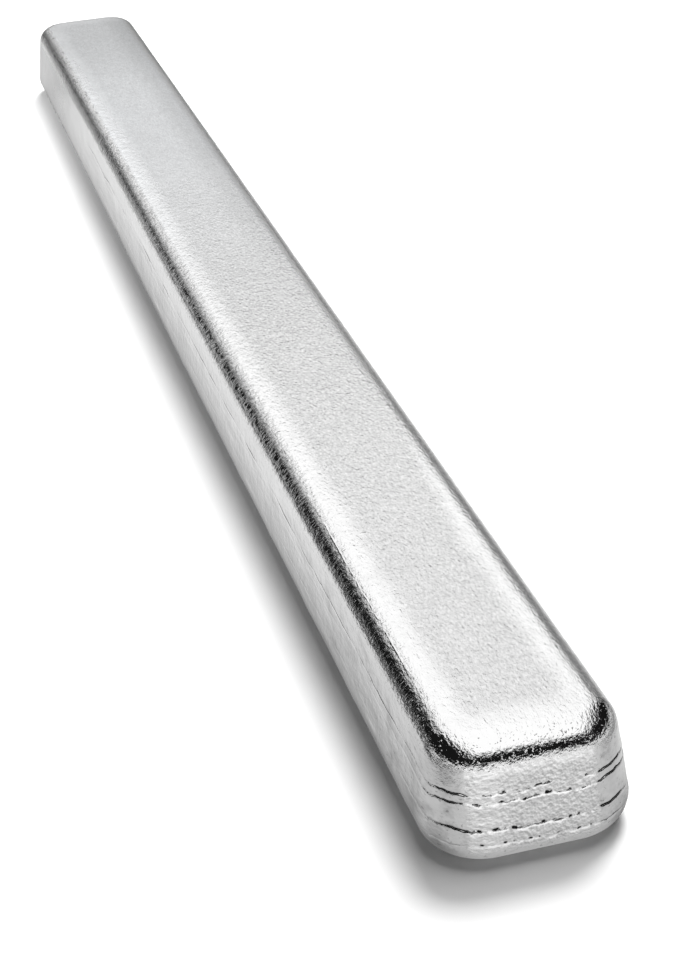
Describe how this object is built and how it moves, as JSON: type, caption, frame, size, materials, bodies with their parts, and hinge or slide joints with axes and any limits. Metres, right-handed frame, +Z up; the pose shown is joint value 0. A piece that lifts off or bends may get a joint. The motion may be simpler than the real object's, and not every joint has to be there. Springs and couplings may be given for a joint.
{
  "type": "solder bar",
  "caption": "Cast bar of tin-based solder with drafted walls, round upright corners, a broad round along the flat top's edge and a rounded foot, for feeding a solder pot.",
  "frame": {"origin": "on the floor, under the middle of the bar", "axes": "+X along the bar, +Y across it, +Z up from the face it lies on"},
  "size_m": [0.345, 0.0262, 0.0164],
  "materials": {
    "cast_tin": "bright cast skin, satin on the top, rougher with fill lines on the walls and ends"
  },
  "bodies": {
    "root": {"solder_bar": "cast_tin"}
  },
  "joints": []
}
